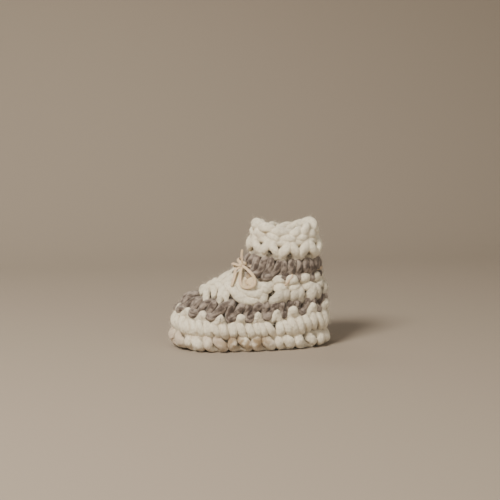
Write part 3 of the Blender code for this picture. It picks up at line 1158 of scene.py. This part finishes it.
@dataclass
class SoleEdgeRow(LoopRow):
    """The row of loops on the sole's rolled edge, whose courses count up from the floor."""

    course_height: float = 10 * MM
    lowest_centre: float = 2.6 * MM
    set_back: float = 2.2 * MM

    def lay(
        self, form: SlipperForm, turn: np.ndarray, course: np.ndarray, out: np.ndarray
    ) -> tuple[np.ndarray, np.ndarray]:
        """Lays the row on the rolled edge."""
        height = np.maximum(course * self.course_height, self.lowest_centre)
        return form.edge_place(turn, height, out - self.set_back)


@dataclass
class KnittedUpper:
    """The wall: rows of loops, the instep flap, the cast-off edge, and the dark backing of painted shade
    behind them.
    """

    form: SlipperForm
    gauge: YarnGauge
    wool: bpy.types.Material
    shade_backing: bpy.types.Material
    backing_depth: float = -1.9 * MM
    flap_wide: float = 1.12
    flap_thick: float = 0.90
    flap_sunk: float = 0.4
    flap_highest: float = 3.2 * MM
    plait_course: float = 7.60
    plait_height: float = 0.36
    plait_depth: float = 2.0 * MM
    plait_waves: int = 4
    plait_wide: float = 7.4 * MM
    plait_thick: float = 6.2 * MM

    def rows(self) -> list[LoopRow]:
        """The rows round the foot and ankle, from the sole's seam up.

        Returns:
            The rows in knitting order.
        """
        cream, grey = Wool.CREAM, Wool.GREY
        return [
            LoopRow(
                "row_band", 0.50, 0.46, BAND_LEGS, cream, 25,
                slant=0.10, shear=0.22, loose=1.7, dip=0.12, heel_rise=0.08, size=0.98,
            ),
            LoopRow(
                "row_edge", 1.20, 0.44, KNOBS_OUT, cream, 20,
                slant=-0.04, pinch=0.07, dip=0.34, heel_rise=0.10, size=1.06,
            ),
            LoopRow(
                "row_stripe", 2.05, 0.72, FEET_OUT, grey, 20,
                slant=0.04, toe_bulge=2.2 * MM, toe_drop=0.05,
            ),
            # This cream row is greyed a little as painted shade, since it lies in shadow.
            LoopRow(
                "row_ankle_low", 3.16, 0.52, LEGS_OUT, cream, 9,
                start=0.235, end=0.765, slant=0.03, pinch=0.10, loose=1.3, painted_shade_grey=0.42, size=1.24,
            ),
            LoopRow(
                "row_ankle_high", 4.14, 0.34, BUMPS_OUT, cream, 11,
                start=0.190, end=0.810, slant=0.14, size=1.20,
            ),
            LoopRow("row_ankle_grey", 5.14, 0.66, FEET_OUT, grey, 14, slant=0.04),
            LoopRow(
                "row_cuff", 6.46, 0.58, CUFF_LEGS, cream, 10, slant=0.27, loose=0.5, size=1.10,
            ),
        ]

    def flap(self) -> list[Strand]:
        """The instep flap's strands, on both sides.

        Returns:
            The strands.
        """
        rng = self.gauge.rng
        strands = []
        for side in Side:
            for plan in FLAP_STRANDS:
                along, course, lift = smooth_route(np.array(plan.points), 12).T
                turn = self.form.turn_of(along + 0.004 * rng.normal(), side)
                sunk = plan.wide * self.flap_sunk
                centre, normal = self.form.place(turn, course, lift * MM - sunk)
                seed = int(rng.integers(1 << 30))
                narrower = plan.taper * eased(np.linspace(0, 1, len(turn)))
                strands.append(
                    Strand(
                        centre=centre,
                        out=normal,
                        wide=plan.wide * self.flap_wide,
                        thick=plan.wide * self.flap_thick,
                        depth=lift * MM - self.flap_highest,
                        seed=seed,
                        swell=1 - narrower + 0.07 * wander(len(turn), 5, rng),
                    )
                )
        return strands

    def build(self) -> list[Strand]:
        """Builds the wall's pieces.

        Returns:
            Every strand, for the fibres to grow on.
        """
        strands = []
        for row in self.rows():
            strands += self._piece(row.name, [row.strand(self.form, self.gauge)], row.wool)
        strands += self._piece("instep_flap", self.flap(), Wool.CREAM)
        strands += self._piece("cast_off_edge", self._cast_off(), Wool.CREAM)
        self._backing()
        return strands

    def _piece(self, name: str, strands: list[Strand], wool: Wool) -> list[Strand]:
        """Makes one piece of the wall from its strands, which it gives back."""
        yarn_piece(name, strands, self.wool, wool.value, "upper")
        return strands

    def _cast_off(self) -> list[Strand]:
        """The cast-off edge: a thick plait of three passes of yarn along the rim.

        Returns:
            The three strands.
        """
        rng = self.gauge.rng
        strands = []
        count = 64 * self.plait_waves
        turn = np.arange(count) / count
        for part in range(3):
            drift = wander(count, 11, rng)
            swing = 2 * math.pi * (self.plait_waves * turn + part / 3) + 0.35 * drift
            course = self.plait_course + self.plait_height * np.sin(swing) + 0.05 * drift
            out = self.plait_depth * (np.sin(2 * swing) - 1 + 0.2 * drift)
            centre, normal = self.form.place(turn, course, out)
            strands.append(
                Strand(
                    centre=centre,
                    out=normal,
                    wide=self.plait_wide,
                    thick=self.plait_thick,
                    closed=True,
                    depth=10 * MM,
                    seed=part + 1,
                    swell=1 + 0.08 * wander(count, 17, rng),
                )
            )
        return strands

    def _backing(self) -> None:
        """A dark sheet between the stitches' front and back: painted shade that shows through the gaps.
        """
        courses = np.linspace(-0.1, self.form.top - 0.35, 48)
        rings = [self.form.place(RING_TURNS, c, self.backing_depth)[0] for c in courses]
        add_piece(grid_mesh("wall_shade_backing", rings), self.shade_backing, Wool.CREAM.value, "upper")


@dataclass
class KnittedSole:
    """The sole: the rolled edge row, and short rows across the tread."""

    form: SlipperForm
    gauge: YarnGauge
    wool: bpy.types.Material
    shade_backing: bpy.types.Material
    edge_stitches: int = 17
    row_spacing: float = 9.4 * MM
    stitch_width: float = 13.5 * MM
    loop_reach: float = 7.2 * MM
    weave: float = 1.5 * MM
    level: float = 4.3 * MM
    toe_inset: float = 7 * MM
    side_inset: float = 3.5 * MM
    backing_level: float = 6.5 * MM
    backing_inset: float = 1.5 * MM

    def build(self) -> list[Strand]:
        """Builds the sole's pieces.

        Returns:
            The edge's strand, for the fibres to grow on.
        """
        # The edge row takes painted floor shade, strongest toward the toe.
        row = SoleEdgeRow(
            "sole_edge", 0.70, 0.44, ROLLED_LEGS, Wool.CREAM, self.edge_stitches,
            slant=0.16, shear=0.14, painted_floor_shade=1.0, size=1.14,
        )
        edge = row.strand(self.form, self.gauge)
        yarn_piece("sole_edge", [edge], self.wool, Wool.CREAM.value, "sole")
        yarn_piece("sole_tread", self._tread(), self.wool, Wool.CREAM.value, "sole")
        self._backing()
        return [edge]

    def _half_width(self, x: float) -> float:
        """Half the seam's width at a place along the slipper."""
        near = self.form.points[0, : self.form.columns // 2]
        return float(-np.interp(x, near[:, 0], near[:, 1]))

    def _tread(self) -> list[Strand]:
        """The short rows across the tread, knitted and purled in turn.

        Returns:
            The rows' strands.
        """
        rows = int(2 * (self.form.length / 2 - self.toe_inset) / self.row_spacing)
        strands = []
        for number in range(rows):
            x = (number - (rows - 1) / 2) * self.row_spacing
            half = self._half_width(x) - self.side_inset
            stitches = max(1, round(2 * half / self.stitch_width))
            count = stitches * self.gauge.points_per_stitch
            phase = np.linspace(0, 2 * math.pi * stitches, count)
            drift = wander(count, 2 * stitches + 1, self.gauge.rng)
            y = -half + 2 * half * (phase / (2 * math.pi) + 0.10 * np.sin(2 * phase)) / stitches
            down = (1 if number % 2 else -1) * np.cos(3 * phase) * self.weave
            along = x + self.loop_reach * np.cos(phase) + self.gauge.uneven_depth * drift
            z = self.level - down + self.form.toe_lift(along)
            strands.append(
                Strand(
                    centre=np.stack([along, y, z], axis=1),
                    out=np.tile([0.0, 0.0, -1.0], (count, 1)),
                    wide=self.gauge.wide,
                    thick=self.gauge.thick,
                    depth=down - self.weave - self.gauge.thick / 2,
                    seed=number,
                    swell=1 + 0.07 * drift,
                    lowest=LOWEST_YARN,
                )
            )
        return strands

    def _backing(self) -> None:
        """A dark sheet over the tread's rows: painted shade that shows through the gaps."""
        seam, _ = self.form.place(RING_TURNS, 0.0, -self.backing_inset)
        rings = []
        for share in (0.02, 0.25, 0.5, 0.75, 1.0):
            ring = seam * np.array([share, share, 1.0])
            ring[:, 2] = self.backing_level + self.form.toe_lift(ring[:, 0])
            rings.append(ring)
        add_piece(grid_mesh("sole_shade_backing", rings), self.shade_backing, Wool.CREAM.value, "sole")


@dataclass
class FeltInsole:
    """The felt insole, crowned a little and pressed in under the heel and ball."""

    form: SlipperForm
    felt: bpy.types.Material
    gap: float = 0.6 * MM
    thickness: float = 3.0 * MM
    pressed: float = 0.5 * MM
    heel: tuple[float, float] = (30 * MM, 11 * MM)
    ball: tuple[float, float] = (-20 * MM, 14 * MM)

    def build(self) -> None:
        """Builds the insole."""
        low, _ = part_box("insole")
        outline, _ = self.form.place(RING_TURNS, 0.0, -(self.form.wall + self.gap))
        rings = []
        plan = ((0.2, 0.0), (0.985, 0.0), (1.0, 0.25), (1.0, 0.7), (0.985, 0.92), (0.95, 1.0))
        for share, up in plan + tuple((s, 1.0) for s in np.linspace(0.88, 0.02, 14)):
            ring = outline * np.array([share, share, 1.0])
            ring[:, 2] = low[2] + up * self.thickness + self.form.toe_lift(ring[:, 0])
            ring[:, 2] -= self._wear(ring) if up == 1.0 else 0.0
            rings.append(ring)
        piece = add_piece(grid_mesh("felt_insole", rings), self.felt, "felt", "insole")

    def _wear(self, ring: np.ndarray) -> np.ndarray:
        """How far the felt is pressed in under the heel and the ball of the foot."""
        spots = [((ring[:, 0] - x) ** 2 + ring[:, 1] ** 2) / r**2 for x, r in (self.heel, self.ball)]
        return self.pressed * np.exp(-np.array(spots)).sum(axis=0)


@dataclass
class SuedeTie:
    """The suede tie: round the ankle between the stitches, and its bow at the front."""

    form: SlipperForm
    suede: bpy.types.Material
    width: float = 2.4 * MM
    thong_wide: float = 2.3 * MM
    thong_thick: float = 1.05 * MM
    end_length: float = 12.5 * MM
    groove: float = 5.0
    showings: int = 2
    behind: float = -2.2 * MM
    in_front: float = 3.0 * MM
    bar_wide: float = 1.6 * MM
    bar_turn: float = 0.285
    knot_radius: float = 1.75 * MM

    def build(self) -> None:
        """Builds the stretch round the ankle, the knot and the bow's two cords."""
        low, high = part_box("tie_knot")
        self.knot = (np.array(low) + np.array(high)) / 2
        turn = np.array([self.form.turn_of(KNOT_PLACE.along, Side.NEAR)])
        self.ahead = self.form.place(turn, KNOT_PLACE.course, 0.0)[1][0]
        self.across = unit(np.cross([0.0, 0.0, 1.0], self.ahead))
        self.up = np.cross(self.ahead, self.across)
        self._round_ankle()
        knot = self._knot()
        standing = self.knot + np.array(STANDING_END) * self.end_length
        lying = np.array([self.form.tie_point(p, Side.NEAR, self.width) for p in LYING_END])
        near_nodes = ("tie_loop_near", "tie_end_standing")
        far_nodes = ("tie_loop_far", "tie_end_lying")
        self._cord("tie_near", Side.NEAR, NEAR_LOOP, standing, near_nodes)
        self._cord("tie_far", Side.FAR, FAR_LOOP[::-1], lying, far_nodes)

    def _thong(self, centre: np.ndarray, out: np.ndarray, closed: bool = False) -> Strand:
        """A flat thong along a line.

        Args:
            centre: The line's points.
            out: The way its flat side faces at each point.
            closed: Whether the line is a ring.

        Returns:
            The thong's strand.
        """
        count = len(centre)
        return Strand(
            centre=centre,
            out=out,
            wide=self.thong_wide,
            thick=self.thong_thick,
            closed=closed,
            sides=12,
            lumps=0.012,
            plies=0,
            ply_depth=0.0,
            twist=0.0,
            swell=1 + 0.06 * wander(count, max(5, count // 9), np.random.default_rng(count)),
        )

    def _round_ankle(self) -> None:
        """The stretch in and out between the stitches, and the bar that shows beside it."""
        turn = np.linspace(0, 1, 360, endpoint=False)
        show = np.abs(np.cos(math.pi * self.showings * turn)) ** 6
        out = self.behind + (self.in_front - self.behind) * show
        course = self.groove + 0.06 * np.sin(2 * math.pi * 3 * turn)
        ring = self._thong(*self.form.place(turn, course, out), closed=True)
        share = np.linspace(0, 1, 40)
        lift = 3.6 * MM - 4.5 * MM * np.abs(2 * share - 1) ** 6
        bar_turn = np.full(len(share), self.bar_turn)
        bar = self._thong(*self.form.place(bar_turn, 3.82 + 1.04 * share, lift))
        bar.wide = self.bar_wide
        yarn_piece("tie_round_ankle", [ring, bar], self.suede, "suede", "tie_round")

    def _knot(self) -> bpy.types.Object:
        """The knot: a wrap of thong round a folded core.

        Returns:
            The knot's piece.
        """
        angle = np.linspace(0, 2 * math.pi, 40, endpoint=False)
        ring = np.outer(np.cos(angle), self.ahead) + np.outer(np.sin(angle), self.up)
        wrap = self.knot + ring * self.knot_radius
        wrap = wrap + np.outer(np.sin(angle), self.across) * self.knot_radius / 5
        core = self.knot + np.outer(np.linspace(-1, 1, 16), self.across) * self.thong_wide
        lump = self._thong(core, np.tile(self.up, (16, 1)))
        lump.wide, lump.thick = 3.0 * MM, 2.6 * MM
        strands = [self._thong(wrap, ring, closed=True), lump]
        return yarn_piece("bow_knot", strands, self.suede, "suede", "tie_knot")

    def _cord(
        self,
        name: str,
        side: Side,
        places: tuple[SurfacePoint, ...],
        end: np.ndarray,
        nodes: tuple[str, str],
    ) -> None:
        """One half of the bow: a loop out of the knot and back, then a loose end.

        Args:
            name: The piece's name.
            side: The side the loop hangs on.
            places: The loop's places on the surface, from the knot and back.
            end: The loose end's points.
            nodes: The solids it stands for.
        """
        loop = np.array([self.form.tie_point(p, side, self.width) for p in places])
        route = smooth_route(np.vstack([self.knot, loop, self.knot, end]), 8)
        turn = np.array([self.form.turn_of(p.along, side) for p in places])
        course = np.array([p.course for p in places])
        _, faces = self.form.place(turn, course, 0.0)
        front = np.tile(self.ahead, (len(end) + 1, 1))
        out = unit(smooth_route(np.vstack([faces[:1], faces, front]), 8))
        piece = yarn_piece(name, [self._thong(route, out)], self.suede, "suede", *nodes)


@dataclass
class LooseFibres:
    """The wool's halo: fine fibres that stand off the yarn."""

    wool: bpy.types.Material
    per_strand_metre: float = 9000.0
    width: float = 0.095 * MM
    shortest: float = 1.0 * MM
    longest: float = 3.8 * MM
    rooted: float = 0.2 * MM
    along: float = 0.9
    stray: float = 0.5
    curl: float = 0.55
    taper: float = 0.7
    joints: int = 4

    def build(self, name: str, strands: list[Strand], slot: str, seed: int) -> None:
        """Builds one piece of fibres.

        Args:
            name: The piece's name.
            strands: The strands they grow on.
            slot: The record's material slot.
            seed: The seed of their places.
        """
        rng = np.random.default_rng(seed)
        ribbons = [self._ribbons(strand, rng) for strand in strands]
        points = np.concatenate([ribbon for ribbon, _ in ribbons])
        grey = np.concatenate([shade for _, shade in ribbons])
        hairs, rows = points.shape[:2]
        base = (np.arange(hairs) * rows * 2)[:, None] + (np.arange(rows - 1) * 2)[None, :]
        quads = np.stack([base, base + 1, base + 3, base + 2], axis=-1).reshape(-1, 4)
        data = bpy.data.meshes.new(name)
        data.from_pydata(points.reshape(-1, 3).tolist(), [], quads.tolist())
        attribute = data.attributes.new("grey", "FLOAT", "POINT")
        attribute.data.foreach_set("value", np.repeat(grey, rows * 2).astype(np.float32))
        add_piece(data, self.wool, slot)

    def _ribbons(
        self, strand: Strand, rng: np.random.Generator
    ) -> tuple[np.ndarray, np.ndarray]:
        """The fibres of one strand.

        Args:
            strand: The strand.
            rng: The seeded random source.

        Returns:
            The ribbons' points, by fibre, joint, edge and axis, and each fibre's grey.
        """
        surface, _ = strand.rings()
        ahead, _, _ = strand.directions()
        count = int(strand.run()[-1] * self.per_strand_metre)
        ring = rng.integers(0, len(surface), count)
        side = rng.integers(0, strand.sides, count)
        root = surface[ring, side]
        away = unit(root - strand.centre[ring])
        lean = self.along * ahead[ring] * rng.choice([-1, 1], count)[:, None]
        grow = unit(away + lean + self.stray * rng.normal(size=(count, 3)))
        length = rng.uniform(self.shortest, self.longest, count)
        curl = unit(rng.normal(size=(count, 3))) * self.curl
        share = np.linspace(0, 1, self.joints)[None, :, None]
        line = root[:, None] - self.rooted * away[:, None]
        line = line + length[:, None, None] * (grow[:, None] * share + curl[:, None] * share**2)
        line[..., 2] = np.maximum(line[..., 2], LOWEST_FIBRE)
        across = unit(np.cross(grow, rng.normal(size=(count, 3))))[:, None]
        half = self.width / 2 * (1 - self.taper * share)
        edges = np.stack([line - across * half, line + across * half], axis=2)
        return edges, np.full(count, strand.grey)


class Lamp(NamedTuple):
    """A soft square light: its place, its side, its power in watts and its colour."""

    name: str
    place: Triple
    size: float
    power: float
    colour: Triple


LAMPS = (
    Lamp("key_light", (-0.58, -0.56, 0.88), 0.36, 22.5, (1.0, 0.955, 0.88)),
    Lamp("fill_light", (0.55, -0.95, 0.35), 0.80, 3.4, (1.0, 0.96, 0.90)),
    Lamp("back_light", (-0.25, 0.75, 0.80), 0.60, 4.6, (1.0, 0.97, 0.92)),
)


@dataclass
class Studio:
    """A plain pale floor that curves up behind, soft lights, and the camera."""

    azimuth: float = -9.0
    elevation: float = 8.0
    distance: float = 0.90
    frame_width: float = 375 * MM
    aim: Triple = (0.0, 0.0, 71.5 * MM)
    sensor: float = 36.0
    lamps_aim: Triple = (0.0, 0.0, 40 * MM)
    room_colour: Colour = (1, 0.95, 0.88, 1)
    room_light: float = 0.33

    def build(self) -> None:
        """Builds the floor, the lights and the camera."""
        self._camera()
        self._floor()
        for lamp in LAMPS:
            self._lamp(lamp)
        world = bpy.data.worlds.new("soft_room")
        world.use_nodes = True
        room = world.node_tree.nodes["Background"]
        room.inputs["Color"].default_value = self.room_colour
        room.inputs["Strength"].default_value = self.room_light
        bpy.context.scene.world = world

    def _camera(self) -> None:
        """Places the camera at the photograph's angle."""
        turn, rise = math.radians(self.azimuth), math.radians(self.elevation)
        level = math.cos(rise)
        away = Vector((math.sin(turn) * level, -math.cos(turn) * level, math.sin(rise)))
        data = bpy.data.cameras.new("camera")
        data.sensor_width = self.sensor
        data.lens = self.sensor * self.distance / self.frame_width
        camera = add_object("camera", data)
        camera.location = Vector(self.aim) + away * self.distance
        camera.rotation_euler = (-away).to_track_quat("-Z", "Y").to_euler()
        bpy.context.scene.camera = camera

    def _floor(self) -> None:
        """The floor, which curves up into a backdrop."""
        radius, front, back, half, wall = 0.35, -30.0, 0.75, 30.0, 4.0
        line = [(front, 0.0), (back - radius, 0.0)]
        for step in range(1, 13):
            angle = math.radians(90 * step / 12)
            line.append((back - radius + radius * math.sin(angle), radius * (1 - math.cos(angle))))
        line.append((back, wall))
        points = [(x, y, z) for y, z in line for x in (-half, half)]
        faces = [(2 * i, 2 * i + 1, 2 * i + 3, 2 * i + 2) for i in range(len(line) - 1)]
        data = bpy.data.meshes.new("floor")
        data.from_pydata(points, [], faces)
        data.shade_smooth()
        data.materials.append(FloorFinish().make())
        add_object("floor", data)

    def _lamp(self, lamp: Lamp) -> None:
        """Adds a soft square light that faces the slipper.

        Args:
            lamp: The light's facts.
        """
        data = bpy.data.lights.new(lamp.name, "AREA")
        data.size, data.energy, data.color = lamp.size, lamp.power, lamp.colour
        light = add_object(lamp.name, data)
        light.location = lamp.place
        toward = Vector(self.lamps_aim) - Vector(lamp.place)
        light.rotation_euler = toward.to_track_quat("-Z", "Y").to_euler()


def main() -> None:
    """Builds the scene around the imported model."""
    logging.basicConfig(level=logging.INFO, format="%(message)s")
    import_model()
    Studio().build()
    low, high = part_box("sole")
    form = SlipperForm(length=high[0] - low[0], ball_width=high[1] - low[1])
    gauge = YarnGauge()
    wool, shade_backing = WoolFinish().make(), ShadeBackingFinish().make()
    SuedeTie(form, SuedeFinish().make()).build()
    sole_strands = KnittedSole(form, gauge, wool, shade_backing).build()
    upper_strands = KnittedUpper(form, gauge, wool, shade_backing).build()
    FeltInsole(form, FeltFinish().make()).build()
    fibres = LooseFibres(wool)
    fibres.build("loose_fibres_low", sole_strands + upper_strands[:3], Wool.CREAM.value, 7)
    fibres.build("loose_fibres_high", upper_strands[3:], Wool.CREAM.value, 8)


if __name__ == "__main__":
    main()
